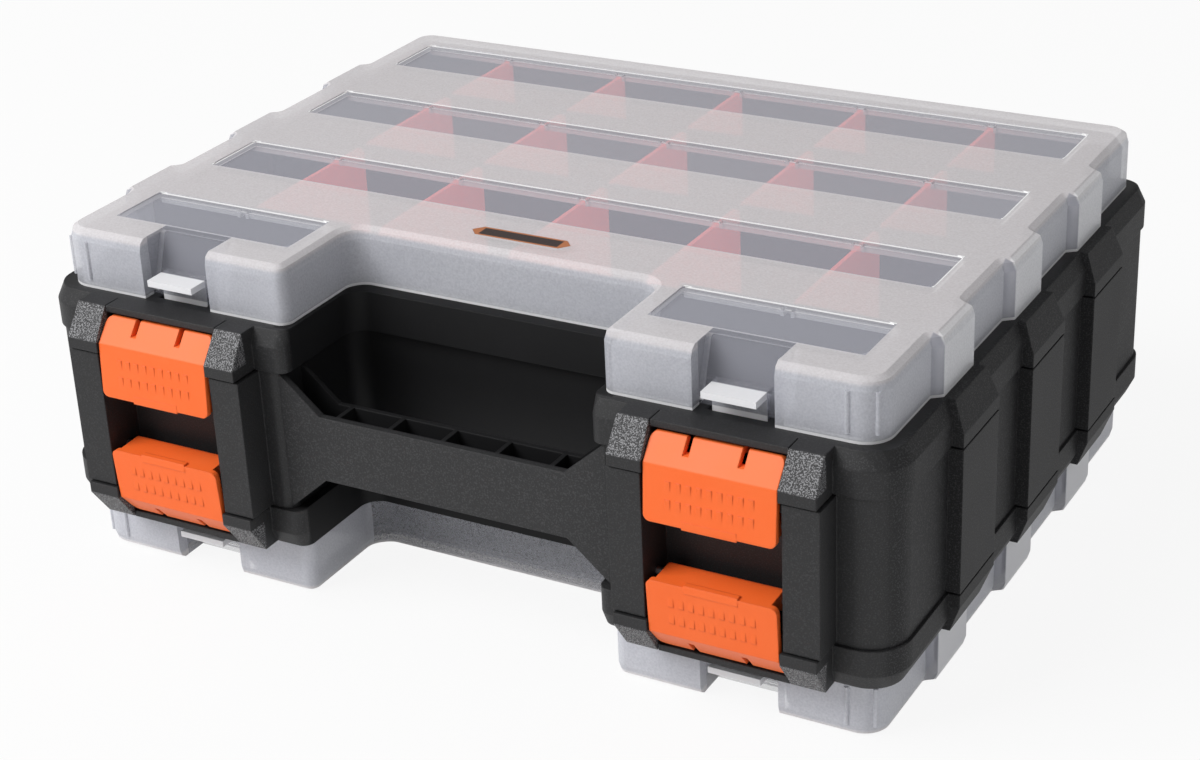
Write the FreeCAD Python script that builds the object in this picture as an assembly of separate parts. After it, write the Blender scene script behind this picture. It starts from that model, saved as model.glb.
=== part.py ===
import FreeCAD, Part
import math
import os

V = FreeCAD.Vector

# Two-sided organizer case, +Z up, standing on its lower lid, front towards -Y.
# Origin: middle of the box, on the ground. The lower half mirrors the upper half.

# Overall size, mm
case_width = 320.0
case_depth = 253.0
case_height = 120.8

# Rim band of each tray and the shell between the two bands
rim_band = 14.4
rim_chamfer = 2.6
rim_chamfer_drop = 5.5
rim_plate = 2.2
rim_wall = 4.6
rim_front_radius = 13.5
rim_back_radius = 11.0
shell_setback = 1.0
shell_wall = 2.4
seam_gap = 0.7

# Posts beside the latches and pilasters on the sides
post_stand = 11.3
post_slope_drop = 10.4
post_slope_run = 7.2
post_side_slope = 0.4
outer_post_width = 12.0
inner_post_width = 11.5
pilaster_stand = 3.8
pilaster_slope_drop = 10.0
pilaster_end_slope = 2.0

# Lids
lid_height = 20.6
lid_wall = 2.0
lid_round = 4.0
lid_round_in = 2.7
round_shares = ((1.0, 0.0), (0.3, 0.3), (0.0, 1.0))
lid_front_step = 6.0
lid_side_step = 7.0
lid_corner_radius = 9.0
lid_back_radius = 8.0
lid_mouth_radius = 4.0
bump_stand = 3.3
bump_flank = 2.5
bump_radius = 1.0
bump_length = 29.4
first_bump = 35.8
last_bump_room = 42.0
bead_r = 0.8
bead_foot = 3.0
bead_shift = 2.0
least_radius = 0.4

# Hand notch
notch_half = 58.0
notch_depth = 39.8
notch_radius = 7.0
rim_notch_lip = 1.7
rim_notch_back = 5.0
shell_notch_step = 3.0

# Compartments
row_count = 3
last_row_short = 9.5
row_wall = 3.0
tray_wall = 2.0
tray_floor = 2.2
floor_gap = 8.0
lip_rise = 6.0
row_top_gap = 0.6
wall_rib_gap = 0.8
side_gap = 2.6
back_gap = 8.0
tray_notch_gap = 4.4
cell_radius = 2.5
front_cell_gap = 10.5

# Dividers
divider_thick = 1.5
divider_play = 0.2
groove_depth = 0.9
divider_corner = 3.0
divider_top_gap = 0.6
end_cell = 41.8
grooves = 5

# Lid underside ribs along the back of each window, with a slotted block over each divider
rib_thick = 1.2
rib_drop = 2.0
rib_lead = 0.4
rib_block = 4.6
rib_block_depth = 2.8
rib_clear = 0.4

# Clear windows, sunk a little into the frosted lid
window_margin = 12.2
window_depth = 26.6
window_edge = 1.7
window_radius = 3.0
window_sink = 0.4
front_window_margin = 8.2
front_window_edge = 3.5
front_window_depth = 24.2

# Latches
latch_corner_room = 20.0
latch_notch_room = 10.3
latch_side_gap = 0.5
latch_stand = 0.5
latch_thick = 2.2
latch_top_drop = 3.2
latch_top_back = 7.7
latch_slope_drop = 7.7
latch_slope_run = 6.4
latch_free_gap = 10.1
latch_pivot_rise = 2.7
latch_pivot_back = 10.2
latch_barrel_r = 3.2
latch_barrel_trim = 2.5
latch_slot = 2.0
latch_slot_depth = 4.6
latch_corner_r = 2.2
hook_reach = 13.0
hook_lip = 0.8
hook_fall = 2.2
bay_depth = 16.0
post_setback = 0.8
ledge_lip = 0.6
pin_r = 1.25
pin_fit = 0.05
pin_seat = 6.0
grip_columns = 9
grip_rows = 2
grip_rise = 0.12

# Lid catch: tab to lift by, and the leg that the latch hook meets
recess_top_depth = 12.5
recess_foot_depth = 5.4
tab_drop = 12.0
tab_thick = 2.2
tab_reach = 8.6
leg_thick = 1.8
leg_root = 0.6
leg_depth = 9.6
leg_clear = 0.9
leg_ridge = 0.8

# Handle bar across the notch
handle_half_height = 11.6
handle_front_step = 2.0
handle_depth = 12.6
handle_wall = 2.6
handle_rear_wall = 1.8
handle_web = 2.4
handle_flare = 15.0
handle_seam_clear = 0.8
handle_rib = 1.6
handle_ribs = 5
handle_rib_pitch = 20.0

# Lid hinges
hinge_barrel_r = 3.8
hinge_gap = 0.4
hinge_setback = 0.7
hinge_pin_r = 1.5
hinge_inset = 60.2
knuckle = 12.0
knuckle_gap = 0.4

# Screws that hold the two trays together through the shell
screw_inset = 26.6
boss_r = 5.0
screw_r = 1.5
screw_head_r = 2.9
screw_head = 1.8
screw_sink = 0.3
screw_clear = 0.15
screw_bite = 3.2
drive_slot = 0.9
drive_length = 3.4
drive_depth = 1.0

# Blank name plate on the upper lid
plate_length = 37.0
plate_width = 6.6
plate_thick = 0.7
plate_point = 3.0
plate_back = 13.0
plate_clear = 0.1

overrun = 1.0

# Shares of the latch bay and of the latch face
tongue_share = 0.405
recess_share = 0.604
grip_pitch_share = 0.0766
grip_width_share = 0.0405
grip_row_share = 0.319
grip_height_share = 0.19

# Places worked out from the sizes above
mid = case_height / 2
rim_top = case_height - lid_height
seam = rim_top - rim_band
rim_half = case_width / 2 - pilaster_stand
post_front = -case_depth / 2 + latch_stand
rim_front = post_front + post_stand
hinge_y = case_depth / 2 - hinge_barrel_r
hinge_z = rim_top + hinge_barrel_r + hinge_gap
rim_back = hinge_y - hinge_setback
lid_front = rim_front + lid_front_step
lid_half = rim_half - lid_side_step
lid_back = hinge_y - hinge_barrel_r - hinge_gap
notch_y = lid_front + notch_depth
rim_notch_half = notch_half - rim_notch_lip
rim_notch_y = notch_y - rim_notch_back
tray_half = lid_half - lid_wall - side_gap
tray_back = lid_back - lid_wall - back_gap
tray_front = lid_front + front_cell_gap
floor_under = mid + floor_gap / 2
floor_top = floor_under + tray_floor
lid_ceiling = case_height - lid_wall
row_top = lid_ceiling - row_top_gap
divider_top = lid_ceiling - divider_top_gap
wall_top = lid_ceiling - rib_drop - wall_rib_gap
lip_top = rim_top + lip_rise
cell_half = tray_half - tray_wall
row_back = tray_back - tray_wall
row_front = notch_y + tray_notch_gap + tray_wall
front_side = notch_half + tray_notch_gap + tray_wall
ledge_front = post_front + post_slope_run
plate_y = notch_y + plate_back
latch_face = -case_depth / 2
latch_pivot_y = latch_face + latch_pivot_back
latch_free = mid + latch_free_gap
latch_pivot_z = latch_free + latch_pivot_rise
bay_y = post_front + bay_depth
bay_low = notch_half + latch_notch_room + inner_post_width
bay_high = rim_half - latch_corner_room - outer_post_width
latch_bay = bay_high - bay_low
latch_x = (bay_low + bay_high) / 2
tab_width = latch_bay * tongue_share
pad_recess = latch_bay * recess_share
row_pitch = (row_back - row_front + last_row_short) / row_count
divider_pitch = (cell_half - end_cell) / ((grooves - 1) / 2)
window_half = lid_half - window_margin
front_window_x = notch_half + front_window_margin
hinge_offset = rim_half - hinge_inset
screw_x = cell_half - screw_inset
bump_pitch = (lid_back - lid_front - first_bump - bump_length - last_bump_room) / (row_count - 1)
bumps = [(lid_front + first_bump + i * bump_pitch) for i in range(row_count)]


def corner_wire(points, inset, z):
    """Closed outline with rounded corners, moved inwards by inset, at height z."""
    count = len(points)
    lines = []
    for i in range(count):
        ax, ay, _ = points[i]
        bx, by, _ = points[(i + 1) % count]
        size = math.hypot(bx - ax, by - ay)
        ux, uy = (bx - ax) / size, (by - ay) / size
        lines.append((ax - uy * inset, ay + ux * inset, ux, uy))
    tangents = []
    for i in range(count):
        px, py, pu, pv = lines[i - 1]
        qx, qy, qu, qv = lines[i]
        cross = pu * qv - pv * qu
        along = ((qx - px) * qv - (qy - py) * qu) / cross
        cx, cy = px + pu * along, py + pv * along
        turn = math.atan2(cross, pu * qu + pv * qv)
        radius = points[i][2] - inset if turn > 0 else points[i][2] + inset
        radius = max(radius, least_radius)
        cut = radius * math.tan(abs(turn) / 2)
        bulge = radius / math.cos(turn / 2) - radius
        mx, my = qu - pu, qv - pv
        length = math.hypot(mx, my)
        tangents.append((V(cx - pu * cut, cy - pv * cut, z),
                         V(cx + mx / length * bulge, cy + my / length * bulge, z),
                         V(cx + qu * cut, cy + qv * cut, z)))
    edges = []
    for i in range(count):
        start, middle, end = tangents[i]
        edges.append(Part.Arc(start, middle, end).toShape())
        edges.append(Part.LineSegment(end, tangents[(i + 1) % count][0]).toShape())
    return Part.Wire(edges)


def tiers(points, levels):
    """Solid through the outline at each (height, inset)."""
    return Part.makeLoft([corner_wire(points, inset, z) for z, inset in levels], True, True)


def both_sides(right):
    return right + [(-x, y, r) for x, y, r in reversed(right)]


def block(x0, x1, y0, y1, z0, z1):
    return Part.makeBox(x1 - x0, y1 - y0, z1 - z0, V(x0, y0, z0))


def bar(profile, x0, x1):
    """Profile of (y, z) points, run along X."""
    corners = [V(x0, y, z) for y, z in profile]
    return Part.Face(Part.makePolygon(corners + corners[:1])).extrude(V(x1 - x0, 0, 0))


def rod(radius, x0, x1, y, z):
    return Part.makeCylinder(radius, x1 - x0, V(x0, y, z), V(1, 0, 0))


def rectangle(x0, x1, y0, y1, z):
    return Part.makePolygon([V(x0, y0, z), V(x1, y0, z), V(x1, y1, z), V(x0, y1, z), V(x0, y0, z)])


def across(shape):
    return shape.mirror(V(0, 0, 0), V(1, 0, 0))


def under(shape):
    return shape.mirror(V(0, 0, mid), V(0, 0, 1))


def joined(shapes):
    return shapes[0].fuse(shapes[1:]).removeSplitter()


def cut_by(shape, tools):
    return shape.cut(Part.Compound(tools))


def rounded_cell(x0, x1, y0, y1, z0, z1, radius):
    cell = block(x0, x1, y0, y1, z0, z1)
    upright = [e for e in cell.Edges if abs(e.tangentAt(e.FirstParameter).z) > e.Length / (e.Length + 1)]
    return cell.makeFillet(radius, upright)


def rim_plan(step, notch_step):
    """Outline of rim and shell, set in by step outside and by notch_step in the hand notch."""
    half = rim_notch_half + notch_step
    return both_sides([(half, rim_notch_y + notch_step, notch_radius),
                       (half, rim_front + step, lid_mouth_radius),
                       (rim_half - step, rim_front + step, rim_front_radius - step),
                       (rim_half - step, rim_back - step, rim_back_radius - step)])


def lid_plan():
    corners = [(notch_half, notch_y, notch_radius),
               (notch_half, lid_front, lid_mouth_radius),
               (lid_half, lid_front, lid_corner_radius)]
    for start in bumps:
        end = start + bump_length
        corners += [(lid_half, start, bump_radius),
                    (lid_half + bump_stand, start + bump_flank, bump_radius),
                    (lid_half + bump_stand, end - bump_flank, bump_radius),
                    (lid_half, end, bump_radius)]
    return both_sides(corners + [(lid_half, lid_back, lid_back_radius)])


def tray_plan():
    half = notch_half + tray_notch_gap
    return both_sides([(half, notch_y + tray_notch_gap, notch_radius),
                       (half, tray_front, lid_mouth_radius),
                       (tray_half, tray_front, cell_radius + tray_wall),
                       (tray_half, tray_back, cell_radius + tray_wall)])


def window_back(row):
    return row_back - window_edge - row * row_pitch


def row_span(row):
    """Front and back of the row, counted from the back; the walls stand midway between the windows."""
    strip, half = (row_pitch - window_depth) / 2, row_wall / 2
    back = row_back if row == 0 else window_back(row) + strip - half
    return row_front if row == row_count - 1 else window_back(row + 1) + strip + half, back


def divider_places():
    return [(i - (grooves - 1) / 2) * divider_pitch for i in range(grooves)]


def screw_places():
    front = (tray_front + row_front) / 2
    rows = [sum(row_span(row)) / 2 for row in (0, row_count - 1)]
    right = [((front_side + cell_half) / 2, front)] + [(screw_x, y) for y in rows]
    return right + [(-x, y) for x, y in right]


def post_spans():
    """X range of the two posts beside the latch on the right."""
    return [(bay_low - inner_post_width, bay_low), (bay_high, bay_high + outer_post_width)]


def sloped_cap(wide, narrow):
    """Cap of a post or pilaster: upright foot on the seam, sloped above."""
    return Part.makeLoft([wide, narrow], True, True)


def caps():
    """Caps on the right half of the rim band."""
    shapes = []
    slope = rim_top - post_slope_drop
    root = rim_front + rim_wall
    for x0, x1 in post_spans():
        shapes.append(block(x0, x1, post_front, root, seam, slope))
        shapes.append(sloped_cap(rectangle(x0, x1, post_front, root, slope),
                                 rectangle(x0 + post_side_slope, x1 - post_side_slope,
                                           ledge_front, root, rim_top)))
    shapes.append(block(bay_low, bay_high, ledge_front, root, rim_top - rim_plate, rim_top))
    slope = rim_top - pilaster_slope_drop
    root = rim_half - rim_wall
    for start in bumps:
        end = start + bump_length
        shapes.append(block(root, rim_half + pilaster_stand, start, end, seam, slope))
        shapes.append(sloped_cap(rectangle(root, rim_half + pilaster_stand, start, end, slope),
                                 rectangle(root, rim_half, start + pilaster_end_slope,
                                           end - pilaster_end_slope, rim_top)))
    return shapes


def hinge_spans(own):
    """X ranges of the knuckles: the tray's pair, or the lid's one between them."""
    half = knuckle / 2
    if own == "lid":
        spans = [(-half, half)]
    else:
        spans = [(-half - knuckle_gap - knuckle, -half - knuckle_gap),
                 (half + knuckle_gap, half + knuckle_gap + knuckle)]
    return [(x0 + place, x1 + place) for place in (-hinge_offset, hinge_offset) for x0, x1 in spans]


def tray(boss_hole_r, head_hole):
    outer = [corner_wire(rim_plan(0, 0), 0, z) for z in (seam, rim_top - rim_chamfer_drop)]
    band = Part.makeLoft(outer + [corner_wire(rim_plan(rim_chamfer, 0), 0, rim_top)], True, True)
    hollow = tiers(rim_plan(rim_wall, rim_wall), [(seam - overrun, 0), (rim_top - rim_plate, 0)])
    box = tiers(tray_plan(), [(floor_under, 0), (lip_top, 0)])
    right = caps()
    knuckles = []
    for x0, x1 in hinge_spans("tray"):
        seat = [(rim_back - rim_wall, rim_top - rim_plate), (rim_back, rim_top - rim_plate),
                (hinge_y + hinge_barrel_r, hinge_z), (hinge_y, hinge_z), (hinge_y - hinge_barrel_r, hinge_z),
                (hinge_y - hinge_barrel_r, rim_top - rim_plate)]
        knuckles += [bar(seat, x0, x1), rod(hinge_barrel_r, x0, x1, hinge_y, hinge_z)]
    bosses = [Part.makeCylinder(boss_r, floor_top - mid, V(x, y, mid)) for x, y in screw_places()]
    walls = []
    for row in range(1, row_count):
        back = row_span(row)[1]
        walls.append(block(-cell_half - tray_wall, cell_half + tray_wall, back, back + row_wall,
                           floor_under, row_top))
    side = block(front_side - tray_wall, cell_half + tray_wall, row_front - row_wall, row_front,
                 floor_under, row_top)
    walls += [side, across(side)]
    # The outer walls stand higher round the rows than round the front cells
    tall = tiers(tray_plan(), [(floor_under, 0), (wall_top, 0)])
    tall = tall.common(block(-tray_half - overrun, tray_half + overrun, row_front - row_wall,
                             tray_back + overrun, floor_under - overrun, wall_top + overrun))
    # The band and its plate are cut out inside before the box goes in
    body = joined([band] + right + [across(s) for s in right])
    body = body.cut(hollow)
    inner = tiers(tray_plan(), [(floor_under - overrun, tray_wall), (rim_top + overrun, tray_wall)])
    body = joined([body.cut(inner), box, tall] + bosses + knuckles)
    cells = []
    for row in range(row_count):
        front, back = row_span(row)
        cells.append(rounded_cell(-cell_half, cell_half, front, back, floor_top, case_height, cell_radius))
    front_cell = rounded_cell(front_side, cell_half, tray_front + tray_wall, row_front - row_wall,
                              floor_top, case_height, cell_radius)
    cells += [front_cell, across(front_cell)]
    body = cut_by(body, cells)
    body = joined([body] + walls)
    cuts = []
    for row in range(row_count):
        front, back = row_span(row)
        for x in divider_places():
            half = divider_thick / 2 + divider_play
            cuts.append(block(x - half, x + half, front - groove_depth, back + groove_depth,
                              floor_top, case_height))
    for x, y in screw_places():
        cuts.append(Part.makeCylinder(boss_hole_r, floor_top - mid - tray_floor, V(x, y, mid)))
        if head_hole:
            cuts.append(Part.makeCylinder(boss_hole_r, floor_top - mid, V(x, y, mid)))
            seat = floor_top - screw_head - screw_sink
            cuts.append(Part.makeCylinder(screw_head_r + screw_clear, case_height, V(x, y, seat)))
    for sign in (-1, 1):
        middle = sign * latch_x
        half = latch_bay / 2
        cuts.append(block(middle - half, middle + half, post_front, rim_front + rim_wall + overrun,
                          seam - overrun, rim_top - rim_plate))
        half = tab_width / 2 + leg_clear
        near = leg_front() - leg_ridge - leg_clear
        cuts.append(block(middle - half, middle + half, near, leg_front() + leg_thick + leg_clear,
                          rim_top - rim_plate - overrun, rim_top + overrun))
    for x0, x1 in hinge_spans("tray"):
        cuts.append(rod(hinge_pin_r + pin_fit, x0 - overrun, x1 + overrun, hinge_y, hinge_z))
    return cut_by(body, cuts)


def leg_front():
    """Front face of the lid's catch leg."""
    return lid_front + recess_foot_depth + leg_root - leg_thick


def windows():
    """Upper faces of the clear windows: three long ones and the two in front."""
    low, high = case_height - window_sink, case_height + overrun
    panes = []
    for row in range(row_count):
        back = window_back(row)
        panes.append(rounded_cell(-window_half, window_half, back - window_depth, back,
                                  low, high, window_radius))
    back = row_front - row_wall - front_window_edge
    pane = rounded_cell(front_window_x, window_half, back - front_window_depth, back,
                        low, high, window_radius)
    return panes + [pane, across(pane)]


def ribs():
    """Rib under the lid along the back of each window, with a slotted block over each divider."""
    low, high = lid_ceiling - rib_drop, lid_ceiling + lid_wall / 2
    lines = [(-window_half, window_half, window_back(row), divider_places()) for row in range(row_count)]
    y = row_front - row_wall - front_window_edge
    centre = (front_window_x + window_half) / 2
    lines += [(front_window_x, window_half, y, [centre]), (-window_half, -front_window_x, y, [-centre])]
    shapes = []
    for x0, x1, y, places in lines:
        near = y - rib_lead
        middle = near + rib_thick / 2
        far = middle + rib_block_depth / 2
        pieces = [block(x0, x1, near, near + rib_thick, low, high)]
        slots = []
        for x in places:
            pieces.append(block(x - rib_block / 2, x + rib_block / 2, far - rib_block_depth, far, low, high))
            half = divider_thick / 2 + rib_clear
            slots.append(block(x - half, x + half, far - rib_block_depth - overrun, far + overrun,
                               low - overrun, lid_ceiling))
        shapes.append(cut_by(joined(pieces), slots))
    return shapes


def beads():
    """Two upright beads on each front corner of the lid."""
    x, y = lid_half - lid_corner_radius, lid_front + lid_corner_radius
    lean = lid_corner_radius / math.sqrt(2)
    foot = rim_top + bead_foot
    right = [Part.makeCylinder(bead_r, case_height - lid_round - foot, V(px, py, foot))
             for px, py in ((x - bead_shift, lid_front), (x + lean, y - lean))]
    return right + [across(s) for s in right]


def lid():
    rounding = [(case_height - drop * lid_round, inwards * lid_round_in) for drop, inwards in round_shares]
    outer = tiers(lid_plan(), [(rim_top, 0)] + rounding)
    inner = tiers(lid_plan(), [(rim_top - overrun, lid_wall), (lid_ceiling - lid_round, lid_wall),
                               (lid_ceiling, lid_wall + lid_round_in)])
    slope = (recess_top_depth - recess_foot_depth) / lid_height

    def recess(grow):
        low = rim_top - overrun
        high = case_height + overrun
        depth = [recess_foot_depth + (z - rim_top) * slope + grow for z in (low, high)]
        profile = [(lid_front - overrun, low), (lid_front + depth[0], low),
                   (lid_front + depth[1], high), (lid_front - overrun, high)]
        return [bar(profile, middle - pad_recess / 2 - grow, middle + pad_recess / 2 + grow)
                for middle in (-latch_x, latch_x)]

    shell = cut_by(outer, recess(0)).cut(cut_by(inner, recess(lid_wall)))
    extras = []
    for middle in (-latch_x, latch_x):
        x0, x1 = middle - tab_width / 2, middle + tab_width / 2
        top = case_height - tab_drop
        wall = lid_front + recess_foot_depth + (top - rim_top) * slope + lid_wall / 2
        front = lid_front + recess_foot_depth - tab_reach
        shelf = [(front, top - tab_thick), (wall, top - tab_thick), (wall, top), (front, top)]
        extras.append(bar(shelf, x0, x1))
        foot = rim_top - leg_depth
        near = leg_front()
        leg = [(near, top - tab_thick), (near, foot + 2 * leg_ridge), (near - leg_ridge, foot + leg_ridge),
               (near, foot), (near + leg_thick, foot), (near + leg_thick, top - tab_thick)]
        extras.append(bar(leg, x0, x1))
    for x0, x1 in hinge_spans("lid"):
        arm = [(lid_back - lid_wall / 2, hinge_z - hinge_barrel_r), (hinge_y, hinge_z - hinge_barrel_r),
               (hinge_y, hinge_z + hinge_barrel_r), (lid_back - lid_wall / 2, hinge_z + hinge_barrel_r)]
        extras += [bar(arm, x0, x1), rod(hinge_barrel_r, x0, x1, hinge_y, hinge_z)]
    body = joined([shell] + extras + ribs() + beads())
    bores = [rod(hinge_pin_r + pin_fit, x0 - overrun, x1 + overrun, hinge_y, hinge_z)
             for x0, x1 in hinge_spans("lid")]
    return cut_by(body, bores + windows())


def latch():
    """Right upper latch: sloped plate, barrel on its pin, tongue with the hook."""
    top = (latch_face + latch_top_back, rim_top - latch_top_drop)
    bend = (top[0] - latch_slope_run, top[1] - latch_slope_drop)
    free = (latch_face, latch_free)
    x0, x1 = bay_low + latch_side_gap, bay_high - latch_side_gap
    deep, half = latch_thick, latch_thick / 2
    plate = bar([top, bend, free, (free[0] + deep, free[1]), (bend[0] + deep, bend[1] - half),
                 (top[0] + deep, top[1] - half), (top[0] + half, top[1])], x0, x1)
    outline = block(x0, x1, free[0] - overrun, top[0] + deep + overrun, free[1], top[1])
    corners = [e for e in outline.Edges if abs(e.tangentAt(e.FirstParameter).y) * 2 > 1]
    plate = plate.common(outline.makeFillet(latch_corner_r, corners))
    arm = [(free[0] + half, free[1]), (latch_pivot_y, latch_pivot_z - latch_barrel_r),
           (latch_pivot_y, latch_pivot_z + half), (free[0] + half, latch_pivot_z + half)]
    barrel_low, barrel_high = x0 + latch_barrel_trim, x1 - latch_barrel_trim
    pieces = [plate, bar(arm, barrel_low, barrel_high),
              rod(latch_barrel_r, barrel_low, barrel_high, latch_pivot_y, latch_pivot_z)]
    reach, tip = top[0] + hook_reach, top[1] - hook_fall
    hook = [(top[0] + half, top[1] - deep), (top[0] + half, top[1]), (reach, tip),
            (reach, tip - deep - hook_lip), (reach - hook_lip, tip - deep)]
    tongue = (tab_width - latch_slot) / 2
    pieces.append(bar(hook, latch_x - tongue, latch_x + tongue))
    lip = [(free[0], free[1] - ledge_lip), (free[0] + deep, free[1] - ledge_lip),
           (free[0] + deep, free[1] + deep), (free[0], free[1] + deep)]
    pieces.append(bar(lip, latch_x - tab_width / 2, latch_x + tab_width / 2))
    middle, face = (bend[1] + free[1]) / 2, bend[1] - free[1]
    wide, tall = latch_bay * grip_width_share / 2, face * grip_height_share / 2
    for row in range(grip_rows):
        for column in range(grip_columns):
            x = latch_x + (column - (grip_columns - 1) / 2) * latch_bay * grip_pitch_share
            z = middle + (row - (grip_rows - 1) / 2) * face * grip_row_share
            lean = (free[0] - bend[0]) / (free[1] - bend[1])
            y = bend[0] + (z - bend[1]) * lean
            pieces.append(block(x - wide, x + wide, y - grip_rise, y + half, z - tall, z + tall))
    cuts = [rod(pin_r + pin_fit, x0, x1, latch_pivot_y, latch_pivot_z)]
    for side in (-1, 1):
        x = latch_x + side * tab_width / 2
        cuts.append(block(x - latch_slot / 2, x + latch_slot / 2, bend[0] - latch_thick, reach,
                          top[1] - latch_slot_depth, top[1] + overrun))
    return cut_by(joined(pieces), cuts)


def shell():
    base = case_height - seam
    ring = tiers(rim_plan(shell_setback, shell_notch_step), [(base, 0), (seam, 0)])
    inner = rim_plan(shell_setback + shell_wall, shell_notch_step + shell_wall)
    inside = tiers(inner, [(base - overrun, 0), (seam + overrun, 0)])
    low, high = base + seam_gap, seam - seam_gap
    adds = []
    for x0, x1 in post_spans():
        away = -post_setback if x0 < latch_x else post_setback
        adds.append(block(x0 + away, x1 + away, post_front + post_setback, bay_y + shell_wall, low, high))
    adds.append(block(bay_low - inner_post_width, bay_high + outer_post_width, bay_y, bay_y + shell_wall,
                      base, seam))
    for start in bumps:
        adds.append(block(rim_half - shell_setback - shell_wall, rim_half + pilaster_stand, start,
                          start + bump_length, low, high))
    body = joined([ring.cut(inside)] + adds + [across(s) for s in adds] + handle())
    half = latch_bay / 2 + post_setback
    cuts = []
    for middle in (-latch_x, latch_x):
        x0, x1 = middle - half, middle + half
        cuts.append(block(x0, x1, post_front - overrun, bay_y, base - overrun, seam + overrun))
        for z in (latch_pivot_z, case_height - latch_pivot_z):
            cuts.append(rod(pin_r + pin_fit, x0 - pin_seat, x1 + pin_seat, latch_pivot_y, z))
    return cut_by(body, cuts)


def handle():
    """Channel bar across the notch: two flared walls, a web and cross ribs."""
    front = rim_front + handle_front_step
    rear = front + handle_depth
    ends = rim_notch_half + shell_notch_step + shell_wall / 2
    straight = ends - handle_flare
    top = seam - mid - handle_seam_clear
    right = [(straight, handle_half_height), (ends, top), (ends, -top), (straight, -handle_half_height)]
    outline = right + [(-x, -z) for x, z in right]

    def wall(y, thick):
        corners = [V(x, y, mid + z) for x, z in outline]
        return Part.Face(Part.makePolygon(corners + corners[:1])).extrude(V(0, thick, 0))

    pieces = [wall(front, handle_wall), wall(rear - handle_rear_wall, handle_rear_wall),
              block(-ends, ends, front, rear, mid - handle_web / 2, mid + handle_web / 2)]
    for i in range(handle_ribs):
        x = (i - (handle_ribs - 1) / 2) * handle_rib_pitch
        pieces.append(block(x - handle_rib / 2, x + handle_rib / 2, front, rear,
                            mid - handle_half_height, mid + handle_half_height))
    return pieces


def divider(x, row):
    front, back = row_span(row)
    reach = groove_depth - divider_play
    half = divider_thick / 2
    plate = block(x - half, x + half, front - reach, back + reach, floor_top, divider_top)
    middle = (floor_top + divider_top) / 2
    top = [e for e in plate.Edges if e.Length < 2 * divider_thick and e.CenterOfMass.z > middle]
    return plate.makeFillet(divider_corner, [e for e in top if abs(e.tangentAt(e.FirstParameter).x) * 2 > 1])


def screw(x, y):
    seat = floor_top - screw_head - screw_sink
    head = Part.makeCylinder(screw_head_r, screw_head, V(x, y, seat))
    shank = Part.makeCylinder(screw_r, seat - mid + screw_bite, V(x, y, mid - screw_bite))
    long, short = drive_length / 2, drive_slot / 2
    top = seat + screw_head
    drive = [block(x - long, x + long, y - short, y + short, top - drive_depth, top + overrun),
             block(x - short, x + short, y - long, y + long, top - drive_depth, top + overrun)]
    return cut_by(head.fuse(shank), drive)


def name_plate(grow, rise):
    """Bare plate with pointed ends, or its pocket when grown."""
    half, point = plate_length / 2 + grow, plate_width / 2 + grow
    outline = [(half - plate_point, -point), (half, 0), (half - plate_point, point)]
    outline += [(-x, -dy) for x, dy in outline]
    corners = [V(x, plate_y + dy, case_height - plate_thick) for x, dy in outline]
    return Part.Face(Part.makePolygon(corners + corners[:1])).extrude(V(0, 0, plate_thick + rise))


def hinge_pin(place):
    reach = knuckle * (1 + 1 / 2) + knuckle_gap
    return rod(hinge_pin_r, place - reach, place + reach, hinge_y, hinge_z)


def latch_pin():
    reach = latch_bay / 2 + post_setback + pin_seat
    return rod(pin_r, latch_x - reach, latch_x + reach, latch_pivot_y, latch_pivot_z)


os.makedirs("parts", exist_ok=True)
nodes = {"upper_tray": tray(screw_r + screw_clear, True),
         "lower_tray": under(tray(screw_r + pin_fit, False)),
         "middle_shell": shell(),
         "top_lid": lid().cut(name_plate(plate_clear, overrun)),
         "bottom_lid": under(lid()),
         "name_plate": name_plate(0, 0),
         "tray_screws": Part.Compound([screw(x, y) for x, y in screw_places()])}

right_latch, right_pin = latch(), latch_pin()
for level, turn in (("upper", lambda s: s), ("lower", under)):
    nodes[level + "_right_latch"] = turn(right_latch)
    nodes[level + "_left_latch"] = across(turn(right_latch))
    nodes[level + "_right_latch_pin"] = turn(right_pin)
    nodes[level + "_left_latch_pin"] = across(turn(right_pin))
for name, turn in (("top", lambda s: s), ("bottom", under)):
    for side, place in (("left", -hinge_offset), ("right", hinge_offset)):
        nodes[name + "_" + side + "_hinge_pin"] = turn(hinge_pin(place))
for row in range(row_count):
    for i, x in enumerate(divider_places()):
        place = "_divider_%d_%d" % (row + 1, i + 1)
        nodes["upper" + place] = divider(x, row)

for name, shape in nodes.items():
    shape.exportStep("parts/" + name + ".step")
    box = shape.BoundBox
    print(name, len(shape.Solids), shape.isValid(), round(shape.Volume), "%.1f %.1f %.1f / %.1f %.1f %.1f" % (
        box.XMin, box.YMin, box.ZMin, box.XMax, box.YMax, box.ZMax))
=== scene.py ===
import math

import bpy
from mathutils import Matrix, Vector

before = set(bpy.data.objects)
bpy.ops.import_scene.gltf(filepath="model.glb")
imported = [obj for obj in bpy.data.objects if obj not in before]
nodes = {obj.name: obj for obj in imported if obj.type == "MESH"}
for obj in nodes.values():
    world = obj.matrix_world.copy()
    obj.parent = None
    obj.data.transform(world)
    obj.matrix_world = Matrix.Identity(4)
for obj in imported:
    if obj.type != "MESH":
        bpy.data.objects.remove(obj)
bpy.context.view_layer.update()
print("frame loaded:", len(nodes), "nodes")

# The latch bays and bumps are where the CAD has them, in metres
case = dict(rimTop=0.1002, mid=0.0604, latchX=0.102, bumpStarts=(-0.0729, -0.0129, 0.0471), lidHalf=0.1492)


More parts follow.
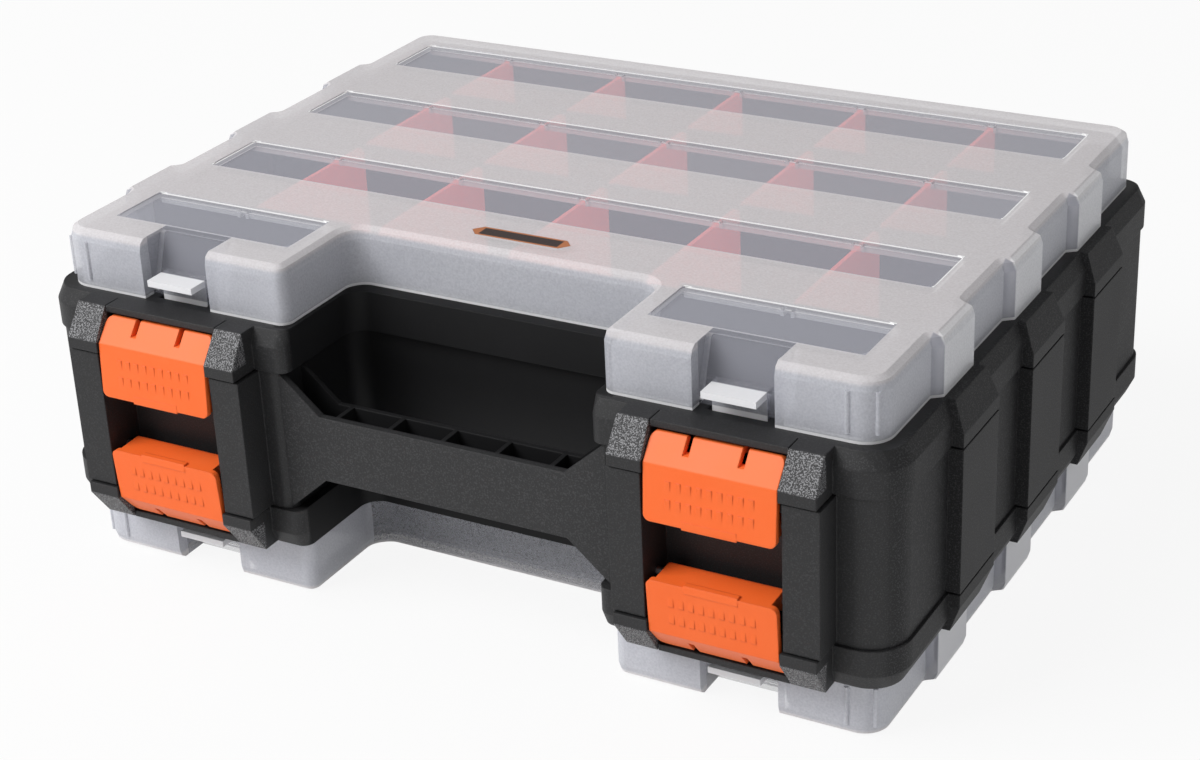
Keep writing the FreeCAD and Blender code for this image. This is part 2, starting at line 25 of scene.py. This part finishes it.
class Wire:
    def __init__(self, finish, socket):
        self.finish = finish
        self.socket = socket

    def maths(self, operation, *values):
        return self.finish.add("ShaderNodeMath", dict(operation=operation), dict(enumerate(values)))

    def __add__(self, other):
        return self.maths("ADD", self, other)

    def __sub__(self, other):
        return self.maths("SUBTRACT", self, other)

    def __rsub__(self, other):
        return self.maths("SUBTRACT", other, self)

    def __mul__(self, other):
        return self.maths("MULTIPLY", self, other)

    def __abs__(self):
        return self.maths("ABSOLUTE", self)

    def __or__(self, other):
        return self.maths("MAXIMUM", self, other)

    __radd__ = __add__
    __rmul__ = __mul__


class Finish:
    def __init__(self, name):
        self.material = bpy.data.materials.new(name)
        self.material.use_nodes = True
        self.tree = self.material.node_tree
        self.shader = self.tree.nodes["Principled BSDF"]
        self.place = self.add("ShaderNodeTexCoord", {}, {}, "Object")
        self.x, self.y, self.z = [self.add("ShaderNodeSeparateXYZ", {}, {0: self.place}, axis) for axis in "XYZ"]

    def add(self, kind, settings, links, output=0):
        node = self.tree.nodes.new(kind)
        for key, value in settings.items():
            setattr(node, key, value)
        for key, value in links.items():
            if isinstance(value, Wire):
                self.tree.links.new(value.socket, node.inputs[key])
            else:
                node.inputs[key].default_value = value
        return Wire(self, node.outputs[output])

    def noise(self, size, detail=2.0, rough=0.5):
        return self.add("ShaderNodeTexNoise", {}, {"Vector": self.place, "Scale": 1 / size, "Detail": detail,
                                                   "Roughness": rough})

    def rise(self, value, low, high):
        return self.add("ShaderNodeMapRange", dict(interpolation_type="SMOOTHSTEP"),
                        {"Value": value, "From Min": low, "From Max": high})

    def upTo(self, value, limit, soft=0.0002):
        return 1 - self.rise(value, limit - soft, limit + soft)

    def within(self, value, low, high, soft=0.0002):
        return self.rise(value, low - soft, low + soft) * self.upTo(value, high, soft)

    def anyOf(self, masks):
        whole = masks[0]
        for mask in masks[1:]:
            whole = whole | mask
        return whole

    def blend(self, mask, first, second):
        return self.add("ShaderNodeMix", dict(data_type="RGBA"), {0: mask, 6: first, 7: second}, 2)

    def bump(self, height, strength, distance, soft=0.0):
        links = {"Height": height, "Strength": strength, "Distance": distance}
        if soft:
            links["Normal"] = self.add("ShaderNodeBevel", dict(samples=4), {"Radius": soft})
        return self.add("ShaderNodeBump", {}, links)

    def cover(self, mask, other):
        mixed = self.add("ShaderNodeMixShader", {}, {0: mask, 1: Wire(self, self.shader.outputs[0]), 2: other})
        self.tree.links.new(mixed.socket, self.tree.nodes["Material Output"].inputs[0])

    def dress(self, **sockets):
        for key, value in sockets.items():
            socket = self.shader.inputs[key.replace("_", " ")]
            if isinstance(value, Wire):
                self.tree.links.new(value.socket, socket)
            else:
                socket.default_value = value
        return self.material


def grey(value, tint=1.0):
    return (value, value, value * tint, 1.0)


# Black moulded plastic: coarse grain with painted sparkle highlights on the post caps, finer grain with painted
# glints on the bar and walls, dull in the notch
blackPlastic = dict(
    deep=grey(0.008, 1.08), wall=grey(0.026, 1.05), cap=grey(0.03, 1.05), sparkle=grey(0.27, 1.04),
    coarseGrain=0.00042, mediumGrain=0.0005, fineGrain=0.00025, cloudSize=0.03, softEdge=0.0007,
    sparkleRamp=(0.46, 0.62), mediumRamp=(0.48, 0.72), sideGrain=0.7, sideSparkle=0.6, frontGrain=0.6, glint=0.10,
    cloudTint=0.3, fineTint=0.2, mediumTint=0.6, coarseHeight=1.5, mediumHeight=0.7, fineHeight=0.2, relief=0.5,
    grainDepth=0.0002, rough=0.40, cloudRough=0.12, grainRough=0.15, shine=0.38, dullRough=0.8, dullShine=0.05,
    matteSide=0.45, matteNotch=0.7, capDrop=(0.0001, 0.0106), postFront=(-0.1192, -0.1182),
    innerPost=(0.0682, 0.0800), outerPost=(0.1240, 0.1365), patchDrop=(0.0006, 0.0052),
    patchFront=(-0.1128, -0.1118), patchSide=(0.1368, 0.1520), patchSoft=0.0015, barFace=(-0.1132, -0.1122),
    barEnd=(0.0600, 0.0604), frontFace=(-0.1100, -0.1095), sideWall=(0.1500, 0.1540), notchEnd=(0.0620, 0.0630),
    notchDepth=(-0.1105, -0.0600), notchSoft=0.0005)


def makeBlack():
    look = blackPlastic
    f = Finish("blackPlastic")
    side = abs(f.x)
    drop = case["rimTop"] - case["mid"] - abs(f.z - case["mid"])  # below either rim's edge
    # Where each grain lies
    posts = f.within(side, *look["innerPost"]) | f.within(side, *look["outerPost"])
    caps = f.within(drop, *look["capDrop"]) * posts * (1 - f.rise(f.y, *look["postFront"]))
    patch = f.within(side, *look["patchSide"], look["patchSoft"]) * (1 - f.rise(f.y, *look["patchFront"]))
    patch = patch * f.within(drop, *look["patchDrop"])
    bar = f.within(f.y, *look["barFace"]) * (1 - f.rise(side, *look["barEnd"]))
    frontFaces = 1 - f.rise(f.y, *look["frontFace"])
    sideWalls = f.rise(side, *look["sideWall"])
    medium = f.anyOf([bar, sideWalls * look["sideGrain"], frontFaces * look["frontGrain"], patch])
    inNotch = (1 - f.rise(side, *look["notchEnd"])) * f.within(f.y, *look["notchDepth"], look["notchSoft"])
    # Colour and relief
    sizes = [look[key] for key in ("coarseGrain", "mediumGrain", "fineGrain")]
    coarseGrain, mediumGrain, fineGrain = [f.noise(size, detail=1.0) for size in sizes]
    cloud = f.noise(look["cloudSize"], detail=3.0)
    # Painted highlights: light grey sparkle flecks on the cap grain, and glints on the finer grain, stronger on
    # the side walls
    sparkle = f.rise(coarseGrain, *look["sparkleRamp"])
    glint = f.rise(mediumGrain, *look["mediumRamp"]) * look["glint"]
    glint = glint * (medium + sideWalls * look["sideSparkle"])
    tint = look["cloudTint"] * cloud + look["fineTint"] * fineGrain + look["mediumTint"] * medium
    colour = f.blend(tint, look["deep"], look["wall"])
    colour = f.blend(glint, colour, look["sparkle"])
    colour = f.blend(caps, colour, f.blend(sparkle, look["cap"], look["sparkle"]))
    height = look["coarseHeight"] * coarseGrain * caps + look["mediumHeight"] * mediumGrain * medium
    height = height + look["fineHeight"] * fineGrain
    dull = {"Base Color": colour, "Roughness": look["dullRough"], "Specular IOR Level": look["dullShine"]}
    matte = look["matteSide"] * sideWalls | look["matteNotch"] * inNotch
    f.cover(matte, f.add("ShaderNodeBsdfPrincipled", {}, dull))
    rough = look["rough"] + look["cloudRough"] * cloud + look["grainRough"] * medium
    return f.dress(Base_Color=colour, Roughness=rough, Specular_IOR_Level=look["shine"],
                   Normal=f.bump(height, look["relief"], look["grainDepth"], look["softEdge"]))


# Frosted lid with clear windows, clear walls in the latch recesses and clear fronts on the side bumps
# Painted light on the lid: the walls' darker bluish grey and lower alpha are painted shade, and the white lines
# at the window edges, the ribs and the foot are painted highlights
lidPlastic = dict(
    frost=(0.89, 0.845, 0.855, 1.0), wall=(0.70, 0.715, 0.79, 1.0), clear=(0.69, 0.70, 0.79, 1.0),
    edge=(0.93, 0.93, 0.95, 1.0), speckle=grey(0.72, 1.04), highlightLine=grey(1.0), speckSize=0.0007, rippleSize=0.002,
    cloudSize=0.05, cloudTint=0.3, speckTint=0.5, tintStart=0.1, rippleHeight=0.4, grainDepth=0.0002, relief=0.35,
    rough=0.42, cloudRough=0.1, clearSmooth=0.34, shine=0.5, frostAlpha=0.65, wallAlpha=0.50, clearAlpha=0.35,
    highlightLineAlpha=0.95, whiteAlpha=0.9, recessClear=0.13, flankClear=0.85, bumpWhite=0.6, bumpMilk=0.17,
    sideMilk=0.12, lowerMilk=0.22, cloudMilk=0.05, speckMilk=0.25, rowBacks=(0.1048, 0.0453, -0.0142),
    rowDepth=0.0266, frontBack=-0.0690, frontDepth=0.0242, windowHalf=0.137, frontInner=0.0662,
    windowSoft=0.0003, highlightWidth=0.0010, highlightInner=0.0006, lineSoft=0.0001, recessHalf=0.0135,
    recessDepth=(-0.1042, -0.0935), tabHalf=0.0095, tabFront=(-0.1047, -0.1043), tabFoot=(0.0455, 0.0462),
    flankDepth=(-0.0002, 0.0025), flankSide=(-0.0008, -0.0002), bumpSide=(0.0006, 0.0014),
    wallSide=(-0.0030, -0.0020), panelRise=(0.0575, 0.0590), footHighlightRise=(0.0406, 0.0410), turnOver=0.001,
    ribRise=(0.0560, 0.0584), rowRibs=(-0.0200, -0.0190), ribBack=(0.1072, 0.1080), frontRib=(-0.0715, -0.0665),
    frontRibSide=(0.0650, 0.0660), ribEnd=(0.1375, 0.1380), notchWall=(-0.0730, -0.0655),
    notchEnd=(0.0600, 0.0610))


def makeLid():
    look = lidPlastic
    f = Finish("frostedLid")
    side, mirrored = abs(f.x), abs(f.z - case["mid"])
    fromWall = side - case["lidHalf"]
    fromLatch = abs(side - case["latchX"])
    half, soft, width = look["windowHalf"], look["windowSoft"], look["highlightWidth"]
    # Windows, with a painted highlight line along the back and the ends
    rows = f.anyOf([f.within(f.y, back - look["rowDepth"], back, soft) for back in look["rowBacks"]])
    front = f.within(f.y, look["frontBack"] - look["frontDepth"], look["frontBack"], soft)
    window = rows * f.upTo(side, half, soft)
    window = window | front * f.within(side, look["frontInner"], half, soft)
    backHighlights = f.anyOf([f.within(f.y, back - width, back, look["lineSoft"]) for back in look["rowBacks"]])
    endHighlights = rows * f.rise(side, half - width, half - look["highlightInner"])
    frontHighlights = f.within(f.y, look["frontBack"] - width, look["frontBack"], look["lineSoft"])
    highlightLine = (backHighlights | endHighlights) * f.upTo(side, half)
    highlightLine = highlightLine | frontHighlights * f.within(side, look["frontInner"], half)
    # Recesses, tabs, bumps, walls, ribs and the lower edge; the ribs and the lower edge get painted highlights
    recess = f.upTo(fromLatch, look["recessHalf"]) * f.within(f.y, *look["recessDepth"])
    tab = f.upTo(fromLatch, look["tabHalf"]) * f.rise(mirrored, *look["tabFoot"])
    tab = tab * (1 - f.rise(f.y, *look["tabFront"]))
    flankNear, flankFar = look["flankDepth"]
    flank = f.anyOf([f.within(f.y, start + flankNear, start + flankFar, soft) for start in case["bumpStarts"]])
    flank = flank * f.rise(fromWall, *look["flankSide"])
    clear = f.anyOf([window, recess, flank * look["flankClear"]])
    panel = f.rise(mirrored, *look["panelRise"])
    bumps = f.rise(fromWall, *look["bumpSide"]) * (1 - flank)
    sides = f.rise(fromWall, *look["wallSide"]) * (1 - panel)
    lower = f.upTo(f.z, case["mid"], look["turnOver"])
    ribs = f.rise(f.y, *look["rowRibs"]) * (1 - f.rise(f.y, *look["ribBack"]))
    ribs = ribs | f.within(f.y, *look["frontRib"]) * f.rise(side, *look["frontRibSide"])
    ribs = ribs * f.within(mirrored, *look["ribRise"], look["lineSoft"]) * (1 - f.rise(side, *look["ribEnd"]))
    notch = f.within(f.y, *look["notchWall"]) * (1 - f.rise(side, *look["notchEnd"])) * (1 - panel)
    footHighlight = (1 - f.rise(mirrored, *look["footHighlightRise"])) * (1 - recess)
    # Colour, milkiness and relief
    speck, ripple = [f.noise(look[key], detail=1.0) for key in ("speckSize", "rippleSize")]
    cloud = f.noise(look["cloudSize"])
    # Painted highlights: the ribs and the lid's foot are painted near-white and nearly opaque; the tab is painted
    # pale and nearly opaque too
    white = f.anyOf([footHighlight, tab, ribs])
    tint = look["cloudTint"] * cloud + look["speckTint"] * speck - look["tintStart"]
    # Painted shade: the walls get a darker bluish grey than the top faces
    frost = f.blend(tint, f.blend(panel, look["wall"], look["frost"]), look["speckle"])
    colour = f.blend(white | bumps * look["bumpWhite"], f.blend(clear, frost, look["clear"]), look["edge"])
    # Painted highlight: white lines along the windows' edges
    colour = f.blend(highlightLine, colour, look["highlightLine"])
    # Painted shade: the walls start clearer than the top, so they look darker over the dark inside
    milky = look["wallAlpha"] + (look["frostAlpha"] - look["wallAlpha"]) * panel
    milky = milky + look["cloudMilk"] * cloud + look["speckMilk"] * (speck - 0.5)
    milky = milky + look["bumpMilk"] * bumps + look["sideMilk"] * sides
    milky = milky + look["lowerMilk"] * lower * (1 - 2 * notch)  # the lower notch wall is clearer
    alpha = milky - clear * (milky - look["clearAlpha"]) - recess * look["recessClear"]
    alpha = f.anyOf([alpha, white * look["whiteAlpha"], highlightLine * look["highlightLineAlpha"]])
    height = (speck + look["rippleHeight"] * ripple) * (1 - clear)
    rough = look["rough"] + look["cloudRough"] * cloud - look["clearSmooth"] * clear
    return f.dress(Base_Color=colour, Alpha=alpha, Roughness=rough, Specular_IOR_Level=look["shine"],
                   Normal=f.bump(height, look["relief"], look["grainDepth"]))


# Orange latches with a paler random mottle, and a painted highlight that makes the slope beside the rim paler
latchPlastic = dict(
    face=(1.0, 0.145, 0.018, 1.0), paleMottleAndSlopeLight=(1.0, 0.20, 0.05, 1.0), grain=0.0003, cloudSize=0.012,
    slope=(0.0285, 0.0295), cloudTint=0.5, grainTint=0.2, slopeLight=0.4, cloudHeight=0.5, relief=0.2,
    grainDepth=0.00012, softEdge=0.0006, rough=0.38, cloudRough=0.14, shine=0.32)


def makeLatch():
    look = latchPlastic
    f = Finish("orangeLatch")
    cloud = f.noise(look["cloudSize"], detail=3.0)
    grain = f.noise(look["grain"], detail=1.0)
    # Painted highlight: the slope beside the rim is blended towards the pale colour, which the cloud and grain
    # also use for a random mottle
    slope = f.rise(abs(f.z - case["mid"]), *look["slope"])
    tint = look["cloudTint"] * cloud + look["grainTint"] * grain + look["slopeLight"] * slope
    height = grain + look["cloudHeight"] * cloud
    return f.dress(Base_Color=f.blend(tint, look["face"], look["paleMottleAndSlopeLight"]), Specular_IOR_Level=look["shine"],
                   Roughness=look["rough"] + look["cloudRough"] * cloud,
                   Normal=f.bump(height, look["relief"], look["grainDepth"], look["softEdge"]))


# Orange-red dividers, with a weak glow for the light that passes through them
dividerPlastic = dict(face=(0.92, 0.17, 0.14, 1.0), pale=(0.96, 0.26, 0.22, 1.0), glow=0.34, cloudSize=0.01,
                      grain=0.0006, relief=0.2, grainDepth=0.0001, rough=0.36, cloudRough=0.2)


def makeDivider():
    look = dividerPlastic
    f = Finish("redDivider")
    cloud = f.noise(look["cloudSize"], detail=3.0)
    colour = f.blend(cloud, look["face"], look["pale"])
    return f.dress(Base_Color=colour, Emission_Color=colour, Emission_Strength=look["glow"],
                   Roughness=look["rough"] + look["cloudRough"] * cloud,
                   Normal=f.bump(f.noise(look["grain"]), look["relief"], look["grainDepth"]))


# Plain steel of the pins and screws, drawn along X
pinSteel = dict(bright=grey(0.62, 1.02), dull=grey(0.42, 1.04), streaks=(60.0, 2500.0, 2500.0), rough=0.24,
                streakRough=0.2)


def makeSteel():
    look = pinSteel
    f = Finish("pinSteel")
    along = f.add("ShaderNodeMapping", {}, {"Vector": f.place, "Scale": look["streaks"]})
    streak = f.add("ShaderNodeTexNoise", {}, {"Vector": along, "Scale": 1.0, "Detail": 2.0})
    return f.dress(Base_Color=f.blend(streak, look["bright"], look["dull"]), Metallic=1.0,
                   Roughness=look["rough"] + look["streakRough"] * streak)


# Bare plate on the lid strip, dark with an orange edge
plate = dict(dark=(0.045, 0.016, 0.010, 1.0), darker=grey(0.02), edge=(0.50, 0.17, 0.06, 1.0), y=-0.0559,
             insideY=(0.0023, 0.0027), insideX=(0.0145, 0.0151), grain=0.0006, relief=0.2, grainDepth=0.0001,
             rough=0.3, grainRough=0.2)


def makePlate():
    look = plate
    f = Finish("barePlate")
    inside = (1 - f.rise(abs(f.y - look["y"]), *look["insideY"])) * (1 - f.rise(abs(f.x), *look["insideX"]))
    grain = f.noise(look["grain"])
    colour = f.blend(inside, look["edge"], f.blend(grain, look["dark"], look["darker"]))
    return f.dress(Base_Color=colour, Roughness=look["rough"] + look["grainRough"] * grain,
                   Normal=f.bump(grain, look["relief"], look["grainDepth"]))


finishes = dict(black=makeBlack(), lid=makeLid(), latch=makeLatch(), divider=makeDivider(), steel=makeSteel(),
                plate=makePlate())


def finishFor(name):
    if name in ("upper_tray", "lower_tray", "middle_shell"):
        return "black"
    if name in ("top_lid", "bottom_lid"):
        return "lid"
    if name == "name_plate":
        return "plate"
    if name == "tray_screws" or name.endswith("_pin"):
        return "steel"
    return "latch" if name.endswith("_latch") else "divider"


for name, node in nodes.items():
    node.data.materials.clear()
    node.data.materials.append(finishes[finishFor(name)])
print("finishes on", len(nodes), "nodes")

# Floor and light
studio = dict(floorHalf=6.0, floorUnder=0.0002, floorGrey=0.85, floorRough=0.9, floorWhite=0.9, worldLight=0.36,
              aim=(0, 0, 0.06), keyPlace=(-1.1, -1.3, 1.7), keySize=1.4, keyPower=46.0,
              fillPlace=(1.9, -0.7, 1.1), fillSize=1.2, fillPower=1.0)


def makeFloor():
    bpy.ops.object.select_all(action="DESELECT")
    bpy.ops.mesh.primitive_plane_add(size=2 * studio["floorHalf"], location=(0, 0, -studio["floorUnder"]))
    floor = bpy.context.object
    floor.name = "floor"
    f = Finish("paleFloor")
    f.dress(Base_Color=grey(studio["floorGrey"]), Roughness=studio["floorRough"])
    rays = ("Is Camera Ray", "Is Glossy Ray", "Is Transmission Ray")
    seen = f.anyOf([f.add("ShaderNodeLightPath", {}, {}, ray) for ray in rays])
    white = f.add("ShaderNodeEmission", {}, {"Color": grey(1.0), "Strength": 1.0})
    f.cover(seen * studio["floorWhite"], white)
    floor.data.materials.append(f.material)


def makeWorld():
    world = bpy.data.worlds.new("studioWorld")
    world.use_nodes = True
    tree = world.node_tree
    sky = tree.nodes["Background"]
    sky.inputs[0].default_value = grey(1.0)
    rays = tree.nodes.new("ShaderNodeLightPath")
    seen = tree.nodes.new("ShaderNodeMath")
    seen.operation = "MAXIMUM"
    tree.links.new(rays.outputs["Is Camera Ray"], seen.inputs[0])
    tree.links.new(rays.outputs["Is Transmission Ray"], seen.inputs[1])
    level = tree.nodes.new("ShaderNodeMapRange")
    tree.links.new(seen.outputs[0], level.inputs["Value"])
    level.inputs["To Min"].default_value = studio["worldLight"]
    level.inputs["To Max"].default_value = 1.0
    tree.links.new(level.outputs[0], sky.inputs[1])
    bpy.context.scene.world = world


def makeLamp(name, place, size, power):
    lamp = bpy.data.lights.new(name, "AREA")
    lamp.shape = "SQUARE"
    lamp.size = size
    lamp.energy = power
    holder = bpy.data.objects.new(name, lamp)
    holder.location = place
    holder.rotation_euler = (Vector(studio["aim"]) - Vector(place)).to_track_quat("-Z", "Y").to_euler()
    bpy.context.scene.collection.objects.link(holder)


makeFloor()
makeWorld()
makeLamp("keyLamp", studio["keyPlace"], studio["keySize"], studio["keyPower"])
makeLamp("fillLamp", studio["fillPlace"], studio["fillSize"], studio["fillPower"])
print("studio ready")

# Camera at the photo's viewing angle, image 1200 by 760
view = dict(place=(0.3845, -0.6741, 0.4200), azimuth=30.034, elevation=25.811, roll=-2.683, focal=2417.8,
            width=1200, sensor=36.0, near=0.01, far=50)


def makeCamera():
    az, el, roll = [math.radians(view[key]) for key in ("azimuth", "elevation", "roll")]
    ahead = Vector((-math.sin(az) * math.cos(el), math.cos(az) * math.cos(el), -math.sin(el)))
    right = Vector((math.cos(az), math.sin(az), 0))
    up = right.cross(ahead)
    across = right * math.cos(roll) + up * math.sin(roll)
    above = across.cross(ahead)
    data = bpy.data.cameras.new("photoCamera")
    data.sensor_width = view["sensor"]
    data.lens = view["focal"] * data.sensor_width / view["width"]
    data.clip_start, data.clip_end = view["near"], view["far"]
    camera = bpy.data.objects.new("photoCamera", data)
    turn = Matrix((across, above, -ahead)).transposed().to_4x4()
    camera.matrix_world = Matrix.Translation(Vector(view["place"])) @ turn
    bpy.context.scene.collection.objects.link(camera)
    bpy.context.scene.camera = camera


makeCamera()
bpy.context.scene.view_settings.view_transform = "Standard"
print("camera set")
